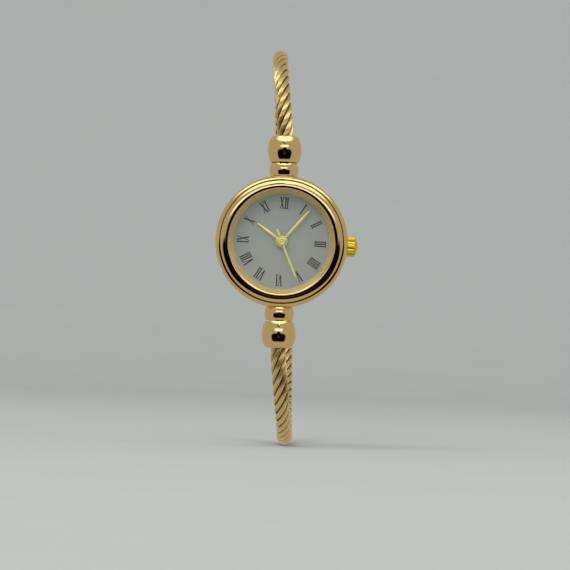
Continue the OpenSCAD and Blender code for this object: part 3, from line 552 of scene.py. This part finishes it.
def make_upper_bead(finish):
    """The hinge bead, with a slot for the tongue at rest, half open and fully open."""
    piece = bead("bead_upper")
    bpy.ops.mesh.primitive_cylinder_add(vertices=48, radius=1.15 * MM, depth=1.5 * MM,
                                        rotation=(0, math.pi / 2, 0))
    eye = begin("eye_room")
    low, high = (-0.75, -0.9, 0), (0.75, 0.9, 4.9)
    slots = [box(name, low, high) for name in ("upright", "leaning", "between")]
    bpy.context.view_layer.update()
    for slot, angle in zip(slots[1:], (OPENING_ANGLE, OPENING_ANGLE / 2)):
        slot.matrix_world = Matrix.Rotation(math.radians(angle), 4, "X") @ slot.matrix_world
    cut(piece, eye, *slots)
    seat_bead(piece, UPPER_PLACE, finish, "hinge_bead")


def make_lower_bead(finish):
    """The latch bead, flat where the ball meets it and slotted for the hook."""
    piece = bead("bead_lower")
    cut(piece, box("flat", (-3, -3, 1.18), (3, 3, 4)),
        box("slot", (-0.75, -4, -1.15), (0.75, 1.35, 4)))
    seat_bead(piece, LOWER_PLACE, finish, "latch_bead")


def ball_curve(r, h, steps):
    """From a narrower ring of the ball at a height to its widest ring."""
    rise, step = h - BALL_MID, BALL_R - r
    radius = (rise * rise + step * step) / (2 * step)
    end = math.degrees(math.asin(rise / radius))
    return arc(BALL_R - radius, BALL_MID, radius, end, 0, steps)


def make_balls(finish):
    """The two balls: the upper one cups its bead, the lower one lies flat on its bead."""
    soft, socket_r, socket_floor = 0.3, 1.44, 3.50
    flank = ball_curve(RIM_R, BALL_RIM, 14)
    shoulder = [p for p in ball_curve(END_R, BALL_END, 18)[::-1][1:] if p[1] < BALL_END - 0.22]
    shoulder += arc(END_R - soft, BALL_END - soft, soft, 20, 90, 7)
    mouth = [(socket_r + 0.04, BALL_END), (socket_r, BALL_END - 0.04), (socket_r, socket_floor),
             (0, socket_floor)]
    cup = arc(0, 0, CUP_R, 90, math.degrees(math.asin(BALL_RIM / CUP_R)), 16)
    rim = [(RIM_R - 0.05, BALL_RIM), (RIM_R - 0.01, BALL_RIM + 0.015)]
    piece = revolve("ball_upper", cup + rim + flank[1:] + shoulder + mouth, 128)
    settle(piece, UPPER_PLACE)
    hand_over(piece, LOOP, finish["polished_gold"], "case_gold", "hinge_ball")
    piece = revolve("ball_lower", [(0, BALL_RIM)] + rim + flank[1:] + shoulder + mouth, 128)
    settle(piece, LOWER_PLACE)
    hand_over(piece, LOOP, finish["polished_gold"], "case_gold", "latch_ball")


# ---- dial and hands

def stroke(master, start, end, width):
    """Lays a copy of the printed bar between two points, in mm."""
    bar = master.copy()
    bar.data = master.data.copy()
    bpy.context.collection.objects.link(bar)
    run = Vector((end[0] - start[0], end[1] - start[1]))
    middle = Vector(((start[0] + end[0]) / 2 * MM, (start[1] + end[1]) / 2 * MM, 0))
    turn = Matrix.Rotation(math.atan2(run.y, run.x), 4, "Z")
    bar.matrix_world = (Matrix.Translation(middle) @ turn
                        @ Matrix.Diagonal((run.length * MM, width * MM, 1, 1)))
    return bar


# Widths of the strokes, height and widths of the letters, radius of the numerals' circle and
# thickness of the print
THICK, THIN, SERIF, TALL = 0.2, 0.11, 0.09, 1.84
WIDTHS = {"I": 0.35, "V": 0.80, "X": 0.84}
NUMERAL_R, PRINT_T = 6.52, 0.012


def letter(master, kind, x):
    """The strokes of a letter whose left edge is at x. ends holds its serifs, each with its
    middle, height and half width, and bars holds strokes from point to point."""
    top, low, w = TALL / 2, -TALL / 2, WIDTHS[kind]
    mid = x + w / 2
    if kind == "I":
        ends = [(mid, top, 0.2), (mid, low, 0.2)]
        bars = [((mid, low), (mid, top), THICK)]
    elif kind == "V":
        ends = [(x + 0.16, top, 0.16), (x + w - 0.14, top, 0.13)]
        bars = [((x + 0.16, top), (mid + 0.02, low), THICK),
                ((x + w - 0.14, top), (mid + 0.04, low), THIN)]
    else:
        ends = [(x + 0.16, top, 0.16), (x + w - 0.15, top, 0.13), (x + 0.15, low, 0.13),
                (x + w - 0.16, low, 0.16)]
        bars = [((x + 0.17, top), (x + w - 0.17, low), THICK),
                ((x + w - 0.16, top), (x + 0.16, low), THIN)]
    bars += [((ex - half, ey), (ex + half, ey), SERIF) for ex, ey, half in ends]
    return [stroke(master, a, b, width) for a, b, width in bars]


def make_numerals(finish):
    """Roman numerals, set round the dial with their feet to the centre."""
    bpy.ops.object.select_all(action="DESELECT")
    bpy.ops.mesh.primitive_plane_add(size=1)
    master = begin("printed_bar")
    bpy.ops.object.mode_set(mode="EDIT")
    bpy.ops.mesh.extrude_region_move(TRANSFORM_OT_translate={"value": (0, 0, PRINT_T * MM)})
    bpy.ops.mesh.select_all(action="SELECT")
    bpy.ops.mesh.normals_make_consistent(inside=False)
    bpy.ops.object.mode_set(mode="OBJECT")
    numerals = ["XII", "I", "II", "III", "IIII", "V", "VI", "VII", "VIII", "IX", "X", "XI"]
    strokes = []
    for hour, text in enumerate(numerals):
        width = sum(WIDTHS[c] for c in text)
        x = -width / 2
        turn = (Matrix.Rotation(math.radians(-30 * hour), 4, "Z")
                @ Matrix.Translation((0, NUMERAL_R * MM, 0)))
        for c in text:
            for bar in letter(master, c, x):
                bar.matrix_world = turn @ bar.matrix_world
                strokes.append(bar)
            x += WIDTHS[c]
    bpy.data.objects.remove(master)
    piece = join("dial_numerals", *strokes)
    bpy.ops.object.transform_apply(location=True, rotation=True, scale=True)
    settle(piece, DIAL_PLACE @ Matrix.Translation((0, 0, (Z_DIAL_TOP - 0.003) * MM)))
    hand_over(piece, HEAD, finish["ink"], "dial_grey")


def make_dial(finish):
    """The dial plate, with a hole for the tube of the hour wheel."""
    hole_r = 0.788
    outline = [(hole_r, Z_DIAL), (DIAL_R, Z_DIAL), (DIAL_R, Z_DIAL_TOP), (0.81, Z_DIAL_TOP),
               (hole_r, Z_DIAL_TOP - 0.02)]
    piece = settle(revolve("dial_plate", outline), DIAL_PLACE)
    hand_over(piece, HEAD, finish["dial"], "dial_grey", "dial")


def blade(name, start, length, root_w, wide_w, wide_at, thick):
    """A ridged blade along y from its hub's ring: a grid, its rows moved to the corners of the
    outline and narrowed there, thickened, with its middle line raised so both flanks are steep."""
    tip_w, edge, wide_y = wide_w / 2, 0.1 * thick, wide_at * length
    first_w = root_w + (wide_w - root_w) * start / wide_y
    rows = [(start, first_w), (wide_y, wide_w), (length - tip_w / 2, tip_w), (length, 0.06)]
    step, wide = 10, 30  # of the grid, drawn large so that its rows lie well apart
    bpy.ops.object.select_all(action="DESELECT")
    bpy.ops.mesh.primitive_grid_add(x_subdivisions=2, y_subdivisions=3, size=wide * MM,
                                    location=(0, (step + wide / 2) * MM, 0))
    piece = begin(name)
    bpy.ops.object.transform_apply(location=True, rotation=True, scale=True)
    bpy.ops.object.mode_set(mode="EDIT")
    for number, (y, w) in enumerate(rows):
        here = step * (number + 1)
        select(piece, lambda p: abs(p.y - here) < 1)
        bpy.ops.transform.resize(value=(w / wide, 1, 1), center_override=(0, here * MM, 0))
        bpy.ops.transform.translate(value=(0, (y - here) * MM, 0))
    bpy.ops.mesh.select_all(action="SELECT")
    bpy.ops.transform.translate(value=(0, 0, edge * MM))
    bpy.ops.mesh.extrude_region_move(TRANSFORM_OT_translate={"value": (0, 0, -edge * MM)})
    select(piece, lambda p: abs(p.x) < 0.004 and p.z > edge / 2 and p.y < length - 0.01)
    bpy.ops.transform.translate(value=(0, 0, (thick - edge) * MM))
    bpy.ops.mesh.select_all(action="SELECT")
    bpy.ops.mesh.normals_make_consistent(inside=False)
    bpy.ops.object.mode_set(mode="OBJECT")
    return piece


def hub(name, r_in, r_out, thick):
    """A ring with a well rounded upper edge."""
    soft = 0.9 * thick
    edge = arc(r_out - soft, thick - soft, soft, 0, 90, 8)
    return revolve(name, [(r_in, 0), (r_out, 0), *edge, (r_in, thick)], 64)


# The photo's time of 10:06:26 as angles from 12 o'clock, and the hands' thickness
HOUR_ANGLE, MINUTE_ANGLE, SECOND_ANGLE = 303.215, 38.58, 154.8
HAND_T, SECOND_T = 0.16, 0.1


def set_hand(piece, z, angle, finish, body, node):
    """Puts a hand over the dial at its height and angle."""
    turn = Matrix.Rotation(math.radians(-angle), 4, "Z")
    settle(piece, DIAL_PLACE @ Matrix.Translation((0, 0, z * MM)) @ turn, 20)
    hand_over(piece, body, finish["hand_gold"], "hand_gold", node)


def make_hands(finish):
    """Hour and minute hand with their hubs, and second hand with its tail and cap."""
    piece = join("hand_hours", blade("hand_hours", 0.85, 5.1, 0.34, 0.54, 0.6, HAND_T),
                 hub("hub", 0.688, 1.0, HAND_T))
    set_hand(piece, Z_HOUR, HOUR_ANGLE, finish, "hours", "hour_hand")
    piece = join("hand_minutes", blade("hand_minutes", 0.65, 7.05, 0.34, 0.54, 0.7, HAND_T),
                 hub("hub", 0.455, 0.85, HAND_T))
    set_hand(piece, Z_MINUTE, MINUTE_ANGLE, finish, "minutes", "minute_hand")
    front = blade("hand_seconds", 0.5, 6.6, 0.34, 0.4, 0.8, SECOND_T)
    tail = blade("tail", 0.5, 2.25, 0.34, 0.5, 0.85, SECOND_T)
    tail.matrix_world = Matrix.Rotation(math.pi, 4, "Z")
    cap_r, soft, boss_r = 0.62, 0.15, 0.30
    edge = arc(cap_r - soft, soft, soft, 0, 150, 10)
    boss = [(boss_r, soft), *arc(0, -0.43, 0.66, 63, 90, 6)]
    cap = revolve("cap", [(0, 0), (cap_r, 0), *edge, *boss], 64)
    piece = join("hand_seconds", front, tail, cap)
    set_hand(piece, Z_SECOND, SECOND_ANGLE, finish, "seconds", "second_hand")


# ---- crown

def make_crown(finish):
    """A turned knob with a shallow dome, its side pressed into flutes."""
    r, flutes, columns = 1.68, 24, 6
    dome_top, dome_r, bore_r, bore_end = 1.945, 2.874, 1.02, 0.62
    bore = [(0, bore_end), (bore_r, bore_end), (bore_r, 0.03), (bore_r + 0.03, 0)]
    side = [(r - 0.12, 0), (r - 0.04, 0.08), (r, 0.20), (r, 0.26), (r, 1.20), (r, 1.32),
            (r - 0.02, 1.40)]
    dome = arc(0, dome_top - dome_r, dome_r, 55.7, 90, 14)
    piece = revolve("crown_fluted", bore + side + dome, columns * flutes)
    bpy.ops.object.mode_set(mode="EDIT")
    for pressed, depth in (((0,), 0.10), ((1, 5), 0.08)):
        def in_flute(p):
            """Takes the points of the side that lie in the pressed columns of a flute."""
            turn = math.degrees(math.atan2(p.y, p.x)) / 360
            column = round(turn * columns * flutes) % columns
            return column in pressed and 0.24 < p.z < 1.35 and math.hypot(p.x, p.y) > r - 0.03
        select(piece, in_flute)
        share = 1 - depth / r
        bpy.ops.transform.resize(value=(share, share, 1), center_override=(0, 0, 0))
    bpy.ops.object.mode_set(mode="OBJECT")
    settle(piece, CROWN_PLACE, 35)
    hand_over(piece, "winding_crown", finish["crown_gold"], "crown_gold", "crown")


# ---- cable

# Radii, lays, wires in a strand and points along the cable, then the shape of the loop
CABLE_R, CORE_R, STRAND_GAP = 1.4, 0.52, 0.036
CABLE_LAY, STRAND_LAY = 12.6, 9.0
STRANDS, WIRES, CABLE_POINTS = 6, 9, 400
START_Z, CORNER_Z, TOP_Z = 15.9, 17.9, 33.4
CREST_Y, CORNER_DEPTH, REAR_Y = -8.8, 18.0, 24.9
LOOP_LEAN, BACK_SWAY, BEND_START = 1.45, 0.2, 1.5


def half_line():
    """The loop's centre line from the upper ball to the middle of the back, in mm."""
    rise, every, points = TOP_Z - CORNER_Z, 3.0, 31
    full = rise * rise / (rise + BEND_START)
    a = np.radians(np.arange(points) * every)
    h = rise * np.sin(a)
    front = np.stack([-LOOP_LEAN * h * h / (h + BEND_START) / full,
                      CREST_Y - CORNER_DEPTH * np.cos(a), CORNER_Z + h], 1)
    rear = np.stack([-LOOP_LEAN * np.cos(a) * (1 + BACK_SWAY * np.sin(a) ** 2),
                     CREST_Y + (REAR_Y - CREST_Y) * np.sin(a), TOP_Z * np.cos(a)], 1)[1:]
    return np.concatenate([[[0, BEAD_Y, START_Z]], front, rear])


def make_route():
    """A function that gives the place at a distance along the loop, and the loop's length."""
    points = half_line()
    lengths = np.concatenate([[0], np.cumsum(np.linalg.norm(np.diff(points, axis=0), axis=1))])
    half = lengths[-1]

    def route(s):
        """Places at distances along the loop, its lower half a half turn of the upper one."""
        side = np.where(s <= half, 1.0, -1.0)
        h = np.where(s <= half, s, 2 * half - s)
        x, y, z = (np.interp(h, lengths, points[:, i]) for i in range(3))
        z = z + np.minimum(h, 0)
        return np.stack([side * x, y, side * z], 1)
    return route, 2 * half


def unit(v):
    """Rows of vectors, each brought to length one."""
    return v / np.linalg.norm(v, axis=1, keepdims=True)


def tube(path, side, r, sides):
    """Rings of points round a path, each square to its run."""
    along = unit(np.gradient(path, axis=0))
    across = unit(np.cross(along, side))
    beside = np.cross(along, across)
    b = 2 * math.pi * np.arange(sides) / sides
    return path[:, None, :] + r * (np.cos(b)[None, :, None] * across[:, None, :]
                                   + np.sin(b)[None, :, None] * beside[:, None, :])


def wind(name, tubes, spine, finish, node):
    """Makes a piece of closed tubes, which knows how deep in the cable each of its points lies."""
    vertices, faces, depths, start = [], [], [], 0
    for rings in tubes:
        count, sides = rings.shape[:2]
        vertices.append(rings.reshape(-1, 3))
        reach = np.linalg.norm(rings - spine[:, None, :], axis=2)
        depths.append(((reach - CORE_R) / (CABLE_R - CORE_R)).reshape(-1))
        i, k = np.meshgrid(np.arange(count - 1), np.arange(sides), indexing="ij")
        a, c = start + i * sides + k, start + i * sides + (k + 1) % sides
        faces.extend(np.stack([a, c, c + sides, a + sides], 2).reshape(-1, 4).tolist())
        last = start + (count - 1) * sides
        faces.append([start + n for n in range(sides)][::-1])
        faces.append([last + n for n in range(sides)])
        start = last + sides
    mesh = bpy.data.meshes.new(name)
    mesh.from_pydata((np.concatenate(vertices) * MM).tolist(), [], faces)
    # The depth attribute drives the painted shade in the gaps of the wire's finish.
    depth = mesh.attributes.new("depth", "FLOAT", "POINT")
    depth.data.foreach_set("value", np.concatenate(depths))
    piece = bpy.data.objects.new(name, mesh)
    bpy.context.collection.objects.link(piece)
    bpy.ops.object.select_all(action="DESELECT")
    bpy.context.view_layer.objects.active = piece
    piece.select_set(True)
    bpy.ops.object.mode_set(mode="EDIT")
    bpy.ops.mesh.select_all(action="SELECT")
    bpy.ops.mesh.normals_make_consistent(inside=False)
    bpy.ops.object.mode_set(mode="OBJECT")
    bpy.ops.object.shade_smooth_by_angle(angle=math.radians(60))
    hand_over(piece, LOOP, finish["cable_gold"], "cable_gold", node)


def make_core(route, length, finish):
    """The straight wire that the strands are laid round."""
    spine = route(np.linspace(0, length, CABLE_POINTS))
    side = unit(np.cross(unit(np.gradient(spine, axis=0)), [1.0, 0, 0]))
    wind("core_wire", [tube(spine, side, CORE_R, 16)], spine, finish, "cable_core")


def make_strand(number, route, length, finish):
    """Nine fine wires laid round a filler, the strand itself laid round the cable's core."""
    centre_r = (CABLE_R + CORE_R) / 2
    strand_r = (CABLE_R - CORE_R) / 2 - STRAND_GAP
    wire_r = strand_r * math.sin(math.pi / WIRES) / (1 + math.sin(math.pi / WIRES))
    s = np.linspace(0, length, CABLE_POINTS)

    def centre(s):
        """The strand's middle at distances along the loop, and the way out from the core."""
        run = unit(route(s + 0.4) - route(s - 0.4))
        across = unit(np.cross(run, [1.0, 0, 0]))
        beside = np.cross(run, across)
        a = 2 * math.pi * s / CABLE_LAY + math.radians(360 / STRANDS * (number - 1))
        out = np.cos(a)[:, None] * across + np.sin(a)[:, None] * beside
        return route(s) + centre_r * out, out

    middle, out = centre(s)
    run = unit(centre(s + 0.2)[0] - centre(s - 0.2)[0])
    side = unit(np.cross(run, out))
    up = np.cross(side, run)
    tubes = [tube(middle, side, strand_r - 2 * wire_r, 6)]
    for wire in range(WIRES):
        b = 2 * math.pi * (wire / WIRES - s / STRAND_LAY)
        path = middle + (strand_r - wire_r) * (np.cos(b)[:, None] * up + np.sin(b)[:, None] * side)
        tubes.append(tube(path, side, wire_r, 7))
    wind(f"strand_wires_{number}", tubes, route(s), finish, f"cable_strand_{number}")


# ---- the nodes that stay as the frame has them

def dress_frame(finish):
    """Gives a finish to every node that no piece stands for."""
    by_finish = {
        "seal": ("back_gasket", "crown_gasket"),
        "holder": ("movement_holder",),
        "brass": ("main_plate", "train_bridge", "intermediate_wheel", "second_wheel",
                  "third_wheel", "centre_wheel", "minute_wheel", "hour_wheel"),
        "steel": ("movement_screws", "quartz_can", "battery", "battery_strap", "stator",
                  "coil_core", "cannon_pinion", "crown_tube", "setting_stem", "hinge_tongue",
                  "latch_hook"),
        "polished_gold": ("hinge_pin", "latch_bar"),
        "board": ("circuit_board",), "chip": ("driver_chip",), "copper": ("coil",),
        "magnet": ("rotor",),
    }
    for name, nodes in by_finish.items():
        for node in nodes:
            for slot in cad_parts[node].material_slots:
                slot.material = finish[name]


# ---- stage, lamps and world

def make_stage():
    """A pale floor that sweeps up behind into a backdrop."""
    side, middle_y, height, sweep = 2.4, -0.2, 1.2, 0.5
    floor_z = cad_box[0][2] - 0.02 * MM
    rear = (middle_y + side / 2) / MM - 100
    bpy.ops.object.select_all(action="DESELECT")
    bpy.ops.mesh.primitive_plane_add(size=side, location=(0, middle_y, floor_z))
    stage = begin("backdrop")
    bpy.ops.object.transform_apply(location=True, rotation=True, scale=True)
    bpy.ops.object.mode_set(mode="EDIT")
    select(stage, lambda p: p.y > rear, "edges")
    bpy.ops.mesh.extrude_region_move(TRANSFORM_OT_translate={"value": (0, 0, height)})
    select(stage, lambda p: p.y > rear and p.z < 0, "edges")
    bpy.ops.mesh.bevel(offset=sweep, segments=24, affect="EDGES")
    bpy.ops.object.mode_set(mode="OBJECT")
    bpy.ops.object.shade_smooth()
    # Matt grey paper. The eye gets an even pale ground, and mirrors see the room past it.
    material, tree, shader = new_material("matt_grey_paper", Roughness=0.9)
    two_tone(tree, shader, "#a9adac", "#aeb2b1", grain(tree, 30, 2))
    clear = add(tree, "BsdfTransparent")
    path = add(tree, "LightPath")
    mix = add(tree, "MixShader", {0: path.outputs["Is Glossy Ray"], 1: shader.outputs["BSDF"],
                                  2: clear.outputs["BSDF"]})
    tree.links.new(mix.outputs["Shader"], tree.nodes["Material Output"].inputs["Surface"])
    stage.data.materials.append(material)


def make_lamp(name, place, size, power, colour="#ffffff"):
    """A soft box that faces the watch."""
    bpy.ops.object.light_add(type="AREA", location=place)
    lamp = bpy.context.object
    lamp.name = name
    lamp.data.shape = "RECTANGLE"
    lamp.data.size, lamp.data.size_y = size
    lamp.data.energy = power
    lamp.data.color = to_linear(colour)[:3]
    lamp.visible_glossy = False
    aim = Vector((0, -0.02, 0)) - Vector(place)
    lamp.rotation_euler = aim.to_track_quat("-Z", "Y").to_euler()


def make_world():
    """A pale room. The camera sees plain grey, metal sees the room's bright and dark patches,
    and all else gets even white light."""
    world = bpy.data.worlds.new("pale_room")
    bpy.context.scene.world = world
    world.use_nodes = True
    tree = world.node_tree
    background = tree.nodes["Background"]
    direction = add(tree, "SeparateXYZ", {0: add(tree, "TexCoord").outputs["Generated"]})
    x, y, z = (direction.outputs[i] for i in range(3))
    front = add(tree, "Math", {0: y, 1: -1.0}, operation="MULTIPLY").outputs[0]
    azimuth = add(tree, "Math", {0: x, 1: front}, operation="ARCTAN2").outputs[0]
    rise = add(tree, "Math", {0: z}, operation="ARCSINE").outputs[0]

    def patch(tone, az, el, half_w, half_h, colour, strength, soft):
        """Lays a soft-edged squarish oval of a colour over a tone, its place in degrees."""
        dx = add(tree, "Math", {0: azimuth, 1: math.radians(az)}, operation="SUBTRACT").outputs[0]
        dx = add(tree, "Math", {0: dx, 1: math.radians(half_w)}, operation="DIVIDE").outputs[0]
        dy = add(tree, "Math", {0: rise, 1: math.radians(el)}, operation="SUBTRACT").outputs[0]
        dy = add(tree, "Math", {0: dy, 1: math.radians(half_h)}, operation="DIVIDE").outputs[0]
        both = add(tree, "CombineXYZ", {0: dx, 1: dy}).outputs[0]
        square = add(tree, "VectorMath", {0: both, 1: both}, operation="MULTIPLY").outputs["Vector"]
        reach = add(tree, "VectorMath", {0: square}, operation="LENGTH").outputs["Value"]
        reach = add(tree, "Math", {0: reach}, operation="SQRT").outputs[0]
        inside = add(tree, "MapRange", {"Value": reach, "From Min": 1 + soft, "From Max": 1 - soft},
                     interpolation_type="SMOOTHSTEP").outputs["Result"]
        light = [c * strength for c in to_linear(colour)[:3]] + [1]
        return add(tree, "Mix", {"Factor": inside, "A": tone, "B": light},
                   data_type="RGBA").outputs["Result"]

    tone = [0.50, 0.47, 0.42, 1]
    for place_and_look in (
            (0, 90, 400, 14, "#ffffff", 0.36, 0.4),   # dim ceiling
            (0, 52, 70, 10, "#fff8e6", 2.7, 0.5),     # long light over the watch
            (0, -15, 49, 19, "#050303", 1.0, 0.1),    # dark table edge in front of it
            (1, -5, 12, 16, "#050303", 1.0, 0.1),     # dark camera on the table
            (0, -11, 8, 6, "#4a2c1c", 1.0, 0.4),      # brown middle of both
            (0, 17, 27, 5, "#ffffff", 1.7, 0.2),      # bright strip over the camera
            (-1, 33, 8, 5, "#050303", 1.0, 0.2),      # dark stand of the light
            (3, 37, 3.5, 3, "#ffffff", 2.0, 0.2)):    # small lamp
        tone = patch(tone, *place_and_look)
    path = add(tree, "LightPath")
    seen = add(tree, "Mix", {"Factor": path.outputs["Is Glossy Ray"], "A": to_linear("#f4f6f6"),
                             "B": tone}, data_type="RGBA").outputs["Result"]
    seen = add(tree, "Mix", {"Factor": path.outputs["Is Camera Ray"], "A": seen,
                             "B": to_linear("#aeb3b3")}, data_type="RGBA").outputs["Result"]
    tree.links.new(seen, background.inputs["Color"])


place_camera()
make_stage()
make_world()
make_lamp("key_soft_box", (-0.35, -0.55, 0.75), (0.6, 0.4), 4.0, "#fffaf0")
make_lamp("right_soft_box", (0.7, -0.25, 0.35), (0.4, 0.6), 1.6)
finish = make_finishes()
make_case(finish)
make_back(finish)
make_crystal(finish)
make_upper_bead(finish)
make_lower_bead(finish)
make_balls(finish)
make_dial(finish)
make_numerals(finish)
make_hands(finish)
make_crown(finish)
route, cable_length = make_route()
make_core(route, cable_length, finish)
for number in range(1, STRANDS + 1):
    make_strand(number, route, cable_length, finish)
dress_frame(finish)

bpy.context.scene.view_settings.view_transform = "Standard"
